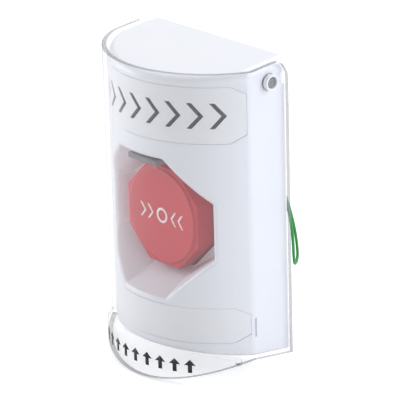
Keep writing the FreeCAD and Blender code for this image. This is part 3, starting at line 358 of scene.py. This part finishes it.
# Clear polycarbonate, injection moulded: see-through face on, turning milky towards grazing angles as a
# painted reflection and then grey as painted shade, with a faint unevenness of its gloss. Its shadow is
# almost as clear.
HAZE_SIZE = 9 * mm
clear_pc = finish_of("clear_polycarbonate")
place = node(clear_pc, "ShaderNodeTexCoord")
haze = node(clear_pc, "ShaderNodeTexNoise", {"Scale": 1 / HAZE_SIZE, "Detail": 3.0},
            Vector=place.outputs["Object"])
haze_range = node(clear_pc, "ShaderNodeMapRange", {"To Min": 0.06, "To Max": 0.12},
                  Value=haze.outputs["Fac"])
glance = node(clear_pc, "ShaderNodeLayerWeight", {"Blend": 0.5})
gleam = node(clear_pc, "ShaderNodeMath", {"operation": "POWER", 1: 4.0}, _0=glance.outputs["Facing"])
# Painted reflection: the wall grows opaque and milky towards grazing angles.
painted_veil = node(clear_pc, "ShaderNodeMapRange", {"To Min": 0.07, "To Max": 0.85}, Value=gleam.outputs[0])
# Painted shade: the base colour turns grey towards grazing angles, for the darkening that refraction
# gives.
grazing_shade = node(clear_pc, "ShaderNodeMath", {"operation": "POWER", 1: 6.0}, _0=glance.outputs["Facing"])
painted_shade_tone = node(clear_pc, "ShaderNodeMix", {"data_type": "RGBA", 6: srgb("F1F3F8"), 7: srgb("8C8C92")},
                  _0=grazing_shade.outputs[0])
moulding = node(clear_pc, "ShaderNodeBsdfPrincipled", {"IOR": 1.58}, Base_Color=painted_shade_tone.outputs[2],
                Roughness=haze_range.outputs[0], Alpha=painted_veil.outputs[0])
ray_kind = node(clear_pc, "ShaderNodeLightPath")
passing = node(clear_pc, "ShaderNodeBsdfTransparent", {"Color": srgb("F9FAFC")})
either = node(clear_pc, "ShaderNodeMixShader", _0=ray_kind.outputs["Is Shadow Ray"],
              _1=moulding.outputs[0], _2=passing.outputs[0])
node(clear_pc, "ShaderNodeOutputMaterial", Surface=either.outputs[0])
dressed(clear_cover, clear_pc)

# The moulding's cut edge, painted grey: painted shade for the darkening that refraction gives the edge.
EDGE_MARK_SIZE = 3 * mm
pc_edge = finish_of("polycarbonate_edge")
place = node(pc_edge, "ShaderNodeTexCoord")
edge_marks = node(pc_edge, "ShaderNodeTexNoise", {"Scale": 1 / EDGE_MARK_SIZE, "Detail": 2.0},
                  Vector=place.outputs["Object"])
edge_gloss = node(pc_edge, "ShaderNodeMapRange", {"To Min": 0.12, "To Max": 0.3},
                  Value=edge_marks.outputs["Fac"])
painted_edge_shade = node(pc_edge, "ShaderNodeBsdfPrincipled",
                    {"Base Color": srgb("808086"), "IOR": 1.58, "Alpha": 0.65},
                    Roughness=edge_gloss.outputs[0])
node(pc_edge, "ShaderNodeOutputMaterial", Surface=painted_edge_shade.outputs[0])
clear_cover.data.materials.append(pc_edge)
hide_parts("clear_cover")

# Hinge pins: moulded with the cover, one on each side, and cored from outside, so that each
# shows as a pale ring round a hollow whose dark grey is painted shade.
CLOUD_SIZE = 15 * mm


def moulded_plastic(name, colour, roughness, grain_mm, grain_height_mm):
    """Moulded plastic: an even colour, a fine grain, and a gloss that varies a little."""
    material = finish_of(name)
    place = node(material, "ShaderNodeTexCoord")
    grain = node(material, "ShaderNodeTexNoise", {"Scale": 1 / (grain_mm * mm), "Detail": 2.0},
                 Vector=place.outputs["Object"])
    bump = node(material, "ShaderNodeBump", {"Strength": 1.0, "Distance": grain_height_mm * mm},
                Height=grain.outputs["Fac"])
    cloud = node(material, "ShaderNodeTexNoise", {"Scale": 1 / CLOUD_SIZE, "Detail": 3.0},
                 Vector=place.outputs["Object"])
    gloss = node(material, "ShaderNodeMapRange",
                 {"To Min": roughness - 0.04, "To Max": roughness + 0.04}, Value=cloud.outputs["Fac"])
    deeper = [c * 0.97 for c in srgb(colour)[:3]] + [1]
    tone = node(material, "ShaderNodeMix", {"data_type": "RGBA", 6: srgb(colour), 7: deeper},
                _0=cloud.outputs["Fac"])
    shader = node(material, "ShaderNodeBsdfPrincipled", {"IOR": 1.53}, Base_Color=tone.outputs[2],
                  Roughness=gloss.outputs[0], Normal=bump.outputs[0])
    node(material, "ShaderNodeOutputMaterial", Surface=shader.outputs[0])
    return material


PIN_PROFILE = ((38.3, 0), (38.3, 2.45), (41.45, 2.45), (41.45, 3.35), (43.42, 3.35), (43.42, 2.65),
               (42.5, 2.5), (42.5, 0))
BORE_RADIUS = 2.5 * mm
ROUND_STEPS = 40
pins = bmesh.new()
for side in (-1, 1):
    profile = [pins.verts.new((side * x * mm, PIVOT.y, PIVOT.z + r * mm)) for x, r in PIN_PROFILE]
    chain = [pins.edges.new(pair) for pair in zip(profile, profile[1:])]
    bmesh.ops.spin(pins, geom=profile + chain, cent=PIVOT, axis=X, angle=2 * math.pi,
                   steps=ROUND_STEPS, use_merge=True)

# Moulded polycarbonate, thick in the pin. Its hollow is drawn darker than the glossy ring round it:
# painted shade for the shade the hollow lies in.
WEAR_SIZE = 2 * mm
hollow_shade_pc = finish_of("polycarbonate_hollow_shade")
place = node(hollow_shade_pc, "ShaderNodeTexCoord")
wear = node(hollow_shade_pc, "ShaderNodeTexNoise", {"Scale": 1 / WEAR_SIZE, "Detail": 2.0},
            Vector=place.outputs["Object"])
hollow_gloss = node(hollow_shade_pc, "ShaderNodeMapRange", {"To Min": 0.2, "To Max": 0.35},
                    Value=wear.outputs["Fac"])
# Painted shade: the hollow's dark grey stands for the shade inside it.
hollow = node(hollow_shade_pc, "ShaderNodeBsdfPrincipled", {"Base Color": srgb("7A7A7E"), "IOR": 1.58},
              Roughness=hollow_gloss.outputs[0])
node(hollow_shade_pc, "ShaderNodeOutputMaterial", Surface=hollow.outputs[0])
boss_pc = moulded_plastic("polycarbonate_boss", "F2F3F7", 0.2, 0.5, 0.003)
cover_pins = dressed(softened(piece_of(pins, "cover_pins", "cover")), hollow_shade_pc)
cover_pins.data.materials.append(boss_pc)
for face in cover_pins.data.polygons:
    off_axis = face.center - PIVOT
    if math.hypot(off_axis.y, off_axis.z) > BORE_RADIUS:
        face.material_index = 1

# Housing: one shell of white ABS, injection moulded with a fine satin grain, with the button's
# tapered pocket in its bowed front. It is screwed to the steel plate behind it.


def smooth_copy(name, source, body, sharp_degrees=28):
    """A copy of a CAD node's mesh with its doubles merged, so that it can be shaded smooth."""
    form = bmesh.new()
    form.from_mesh(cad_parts[source].data)
    bmesh.ops.remove_doubles(form, verts=form.verts, dist=0.002 * mm)
    mesh = bpy.data.meshes.new(name)
    form.to_mesh(mesh)
    form.free()
    piece = bpy.data.objects.new(name, mesh)
    bpy.context.scene.collection.objects.link(piece)
    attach(piece, body)
    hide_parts(source)
    softened(piece, sharp_degrees)
    even = piece.modifiers.new("even_shading", "WEIGHTED_NORMAL")
    even.weight = 100
    even.keep_sharp = True
    return piece


# White ABS with a satin grain: it spreads the highlights and hides the tool's marks.
white_abs = moulded_plastic("white_abs", "EBEDF3", 0.38, 0.5, 0.01)
housing = dressed(smooth_copy("housing_moulding", "front_housing", "base"), white_abs)

# Label plates: two thin films with cut corners, glued in the shallow beds of the front. They are
# matt polyester, a little duller than the housing round them.
label_film = moulded_plastic("label_film", "ECEDF1", 0.45, 0.8, 0.004)
for level in ("upper", "lower"):
    plate = dressed(smooth_copy(f"{level}_label_film", f"{level}_label_plate", "base"), label_film)

# Button: an octagonal cap with a round dished disc on its face, screwed to the stem behind it.
# It is moulded in red polycarbonate, a little glossier than the housing.
red_pc = moulded_plastic("red_polycarbonate", "CB2C38", 0.3, 0.5, 0.006)
button = dressed(smooth_copy("red_button", "button_cap", "button"), red_pc)

# Screws, plate and ring tag: zinc-plated steel, a sheet of galvanised steel, and a tag of tinned
# copper crimped on the lead. They keep their CAD solids.


def metal(name, colour, roughness, mark_mm, mark_height_mm):
    """Plated or drawn metal with fine marks and an uneven shine."""
    material = finish_of(name)
    place = node(material, "ShaderNodeTexCoord")
    marks = node(material, "ShaderNodeTexNoise", {"Scale": 1 / (mark_mm * mm), "Detail": 3.0},
                 Vector=place.outputs["Object"])
    bump = node(material, "ShaderNodeBump", {"Strength": 1.0, "Distance": mark_height_mm * mm},
                Height=marks.outputs["Fac"])
    gloss = node(material, "ShaderNodeMapRange",
                 {"To Min": roughness - 0.08, "To Max": roughness + 0.1}, Value=marks.outputs["Fac"])
    shader = node(material, "ShaderNodeBsdfPrincipled", {"Base Color": srgb(colour), "Metallic": 1.0},
                  Roughness=gloss.outputs[0], Normal=bump.outputs[0])
    node(material, "ShaderNodeOutputMaterial", Surface=shader.outputs[0])
    return material


# Bright zinc on turned steel, spangled zinc on sheet, and tin with a dull warm shine.
zinc_steel = metal("zinc_plated_steel", "C9CCCB", 0.32, 0.6, 0.004)
for screws in ("board_screws", "cap_screws", "carrier_screws", "terminal_screws", "housing_screws",
               "earth_screw"):
    dressed(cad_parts[screws], zinc_steel)
dressed(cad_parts["back_plate"], metal("galvanised_sheet", "BFC3C4", 0.38, 5.0, 0.004))
dressed(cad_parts["ring_tag"], metal("tinned_copper", "CFCBC2", 0.35, 0.5, 0.004))

# Carrier and stem: the inner chassis, screwed to four posts in the housing, and the yoke that
# slides in its guide. Both are moulded in black glass-filled polyamide, matt and a little rough.
black_pa = moulded_plastic("black_polyamide", "1E1F21", 0.5, 0.5, 0.01)
dressed(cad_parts["carrier"], black_pa)
dressed(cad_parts["button_stem"], black_pa)

# Contact blocks: two dark grey polyamide bodies that sit on the carrier's front, each with a
# plunger of ivory acetal, smoother than the body it slides in.
contact_pa = moulded_plastic("grey_polyamide", "33363A", 0.45, 0.5, 0.008)
ivory_pom = moulded_plastic("ivory_acetal", "E4DFD0", 0.35, 0.4, 0.004)
for level in ("lower", "upper"):
    dressed(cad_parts[f"contact_block_{level}"], contact_pa)
    dressed(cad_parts[f"contact_plunger_{level}"], ivory_pom)

# Status light: a board with a green solder mask, screwed to the housing, two lamps with pale
# resin lenses, and the smoked polycarbonate bar in front of them, at the top of the pocket.
solder_mask = moulded_plastic("green_solder_mask", "1B6B3C", 0.3, 0.6, 0.006)
lamp_lens = moulded_plastic("lamp_lens", "F2EFD8", 0.25, 0.4, 0.003)
smoked_pc = moulded_plastic("smoked_polycarbonate", "7C777C", 0.22, 0.5, 0.004)
dressed(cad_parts["led_board"], solder_mask)
dressed(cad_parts["status_leds"], lamp_lens)
dressed(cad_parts["light_bar"], smoked_pc)

# Return spring: a coil of cold-drawn spring wire round the carrier's guide, grey with a fine drawn
# shine. In the switch it shortens between the yoke and the carrier as the button is pressed; here it
# rides with the button.
spring_wire = metal("spring_steel", "A7A9A8", 0.3, 0.3, 0.003)
spring = dressed(smooth_copy("return_coil", "return_spring", "button", sharp_degrees=60),
                 spring_wire)
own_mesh(spring)

# Marks on the upper label: a row of plain chevrons, screen-printed in near-black ink that lies
# matt on the film.
INK = 0.04 * mm
STRIP = 1.5 * mm
MARK_REACH = 44.0 * mm
LABEL_RADIUS = 44.77 * mm + INK / 2
MARKS_EACH_SIDE = 4
CHEVRON_PITCH, CHEVRON_START, CHEVRON_LEVEL = 9.6, -3.6, 44.7
CHEVRON_WIDTH, CHEVRON_HEIGHT, CHEVRON_STROKE = 7.2, 11.0, 2.2


def flat_mark(form, outline):
    """A flat mark in X and Z from an outline in millimetres."""
    form.faces.new([form.verts.new((x * mm, 0, z * mm)) for x, z in outline])


def cut_into_strips(form):
    """Cuts flat marks at even places along X, so that they can bend."""
    place = -MARK_REACH
    while place < MARK_REACH:
        bmesh.ops.bisect_plane(form, geom=[*form.verts, *form.edges, *form.faces], dist=ON_PLANE,
                               plane_co=(place, 0, 0), plane_no=X)
        place += STRIP


def chevron(x, z, width, height, stroke):
    """The outline of a chevron that points to +X."""
    half = height / 2
    return [(x, z + half), (x + stroke, z + half), (x + width, z), (x + stroke, z - half),
            (x, z - half), (x + width - stroke, z)]


def printed(name, form, material, body, bend):
    """Bends flat marks onto their surface, gives them the ink's thickness and dresses them."""
    bmesh.ops.triangulate(form, faces=form.faces)
    for vert in form.verts:
        vert.co = bend(vert.co.x, vert.co.z)
    piece = piece_of(form, name, body)
    ink = piece.modifiers.new("ink", "SOLIDIFY")
    ink.thickness = INK
    ink.offset = 0
    softened(piece)
    return dressed(piece, material)


def on_label(s, z):
    """The place on the upper label, s round its bow from the middle."""
    angle = s / LABEL_RADIUS
    return Vector((LABEL_RADIUS * math.sin(angle), BOW_CENTRE.y - LABEL_RADIUS * math.cos(angle), z))


dark_ink = moulded_plastic("dark_grey_ink", "1F2022", 0.5, 0.6, 0.002)
marks = bmesh.new()
for place in range(-MARKS_EACH_SIDE, MARKS_EACH_SIDE + 1):
    flat_mark(marks, chevron(place * CHEVRON_PITCH + CHEVRON_START, CHEVRON_LEVEL,
                             CHEVRON_WIDTH, CHEVRON_HEIGHT, CHEVRON_STROKE))
cut_into_strips(marks)
printed("upper_label_chevrons", marks, dark_ink, "base", on_label)

# Marks on the lip: a row of plain arrows that point up, printed in black on the lip's face to
# show where the cover is lifted.
INK_STAND = INK * 0.6
LIP_RADIUS = COVER_BOW + FOLD_STEP + INK_STAND
ARROW_PITCH, ARROW_LEVEL = 6.9, -64.6
ARROW_WIDTH, ARROW_HEIGHT, ARROW_STROKE = 5.2, 6.0, 1.9


def up_arrow(x, z, width, height, stroke):
    """The outline of an arrow that points up."""
    half = height / 2
    neck = z + half - width / 2
    return [(x - stroke / 2, z - half), (x + stroke / 2, z - half), (x + stroke / 2, neck),
            (x + width / 2, neck), (x, z + half), (x - width / 2, neck), (x - stroke / 2, neck)]


def on_lip(s, z):
    """The place on the lip's face, s round its bow from the middle."""
    angle = s / LIP_RADIUS
    return Vector((LIP_RADIUS * math.sin(angle), BOW_CENTRE.y - LIP_RADIUS * math.cos(angle), z))


black_ink = moulded_plastic("black_ink", "1B1B1D", 0.45, 0.6, 0.002)
marks = bmesh.new()
for place in range(-MARKS_EACH_SIDE, MARKS_EACH_SIDE + 1):
    flat_mark(marks, up_arrow(place * ARROW_PITCH, ARROW_LEVEL, ARROW_WIDTH, ARROW_HEIGHT, ARROW_STROKE))
cut_into_strips(marks)
printed("lip_arrows", marks, black_ink, "cover", on_lip)

# Marks on the button: two pairs of small chevrons that point to a plain ring in the middle,
# printed in white on the dished disc.
BUTTON_Z = -6.6 * mm
DISC_FRONT = -34.0 * mm
DISH_RADIUS = 420 * mm
DISH_EDGE = 19.6 * mm
RING_INNER, RING_OUTER = 2.3 * mm, 3.4 * mm
TICK_PLACES = (-13.5, -9.0)
TICK_WIDTH, TICK_HEIGHT, TICK_STROKE = 3.6, 6.4, 1.1


def on_button(x, z):
    """The place on the button's dished disc."""
    depth = math.sqrt(DISH_RADIUS ** 2 - x * x - (z - BUTTON_Z) ** 2)
    depth -= math.sqrt(DISH_RADIUS ** 2 - DISH_EDGE ** 2)
    return Vector((x, DISC_FRONT + depth - INK_STAND, z))


white_ink = moulded_plastic("white_ink", "F1ECEC", 0.45, 0.6, 0.002)
marks = bmesh.new()
for place in TICK_PLACES:
    tick = chevron(place, BUTTON_Z / mm, TICK_WIDTH, TICK_HEIGHT, TICK_STROKE)
    flat_mark(marks, tick)
    flat_mark(marks, [(-x, z) for x, z in reversed(tick)])
upright_ring = Matrix.Translation((0, 0, BUTTON_Z)) @ Matrix.Rotation(math.pi / 2, 4, "X")
ring = bmesh.ops.create_circle(marks, cap_ends=False, segments=ROUND_STEPS,
                               radius=RING_INNER, matrix=upright_ring)
ring_edges = list(dict.fromkeys(e for v in ring["verts"] for e in v.link_edges))
outer = bmesh.ops.extrude_edge_only(marks, edges=ring_edges)["geom"]
wider = RING_OUTER / RING_INNER
bmesh.ops.scale(marks, verts=[g for g in outer if isinstance(g, bmesh.types.BMVert)],
                vec=(wider, 1, wider), space=Matrix.Translation((0, 0, -BUTTON_Z)))
printed("button_marks", marks, white_ink, "button", on_button)

# Studio: a white paper floor and a white surround that show white to the camera, and three soft
# lamps. The floor keeps the object's faint shadow.
FLOOR_DROP = 0.5 * mm
FLOOR_SIZE = 6
PAPER_LIFT = 0.42
SURROUND = 0.64
LAMP_SIZE = 0.6
LAMP_AIM = Vector((0, -0.02, 0))
floor_form = bmesh.new()
bmesh.ops.create_grid(floor_form, x_segments=1, y_segments=1, size=FLOOR_SIZE,
                      matrix=Matrix.Translation((0, 0, cad_bounds[0][2] - FLOOR_DROP)))
floor_mesh = bpy.data.meshes.new("floor")
floor_form.to_mesh(floor_mesh)
floor_form.free()
floor = bpy.data.objects.new("floor", floor_mesh)
bpy.context.scene.collection.objects.link(floor)


def seen_white(finish):
    """1 for the rays that meet plain white: the camera's, and those that pass through the cover."""
    ray_kind = node(finish, "ShaderNodeLightPath")
    return node(finish, "ShaderNodeMath", {"operation": "MAXIMUM"},
                _0=ray_kind.outputs["Is Camera Ray"], _1=ray_kind.outputs["Is Transmission Ray"])


paper = finish_of("white_paper")
matt = node(paper, "ShaderNodeBsdfDiffuse", {"Color": srgb("F2F2F2")})
lift = node(paper, "ShaderNodeMath", {"operation": "MULTIPLY", 1: PAPER_LIFT},
            _0=seen_white(paper).outputs[0])
glow = node(paper, "ShaderNodeEmission", {"Color": srgb("FFFFFF")}, Strength=lift.outputs[0])
both = node(paper, "ShaderNodeAddShader", _0=matt.outputs[0], _1=glow.outputs[0])
node(paper, "ShaderNodeOutputMaterial", Surface=both.outputs[0])
dressed(floor, paper)

world = bpy.data.worlds.new("studio")
bpy.context.scene.world = world
world.use_nodes = True
world.node_tree.nodes.clear()
sky = node(world, "ShaderNodeBackground", {"Color": srgb("FFFFFF"), "Strength": SURROUND})
bright = node(world, "ShaderNodeBackground", {"Color": srgb("FFFFFF"), "Strength": 1.0})
blend = node(world, "ShaderNodeMixShader", _0=seen_white(world).outputs[0], _1=sky.outputs[0],
             _2=bright.outputs[0])
node(world, "ShaderNodeOutputWorld", Surface=blend.outputs[0])


def softbox(name, place, power, colour="FFFFFF"):
    """A square area lamp that points at the object."""
    lamp = bpy.data.lights.new(name, "AREA")
    lamp.shape = "SQUARE"
    lamp.size = LAMP_SIZE
    lamp.energy = power
    lamp.color = srgb(colour)[:3]
    made = bpy.data.objects.new(name, lamp)
    facing = (Vector(place) - LAMP_AIM).to_track_quat("Z", "Y").to_matrix().to_4x4()
    made.matrix_world = Matrix.Translation(place) @ facing
    bpy.context.scene.collection.objects.link(made)


softbox("right_lamp", (0.95, 0.55, 0.45), 6.0, "F4F7FF")
softbox("left_lamp", (-0.98, -0.5, 0.35), 5.6)
softbox("top_lamp", (0.0, 0.66, 1.0), 5.0)
bpy.context.scene.view_settings.view_transform = "Standard"
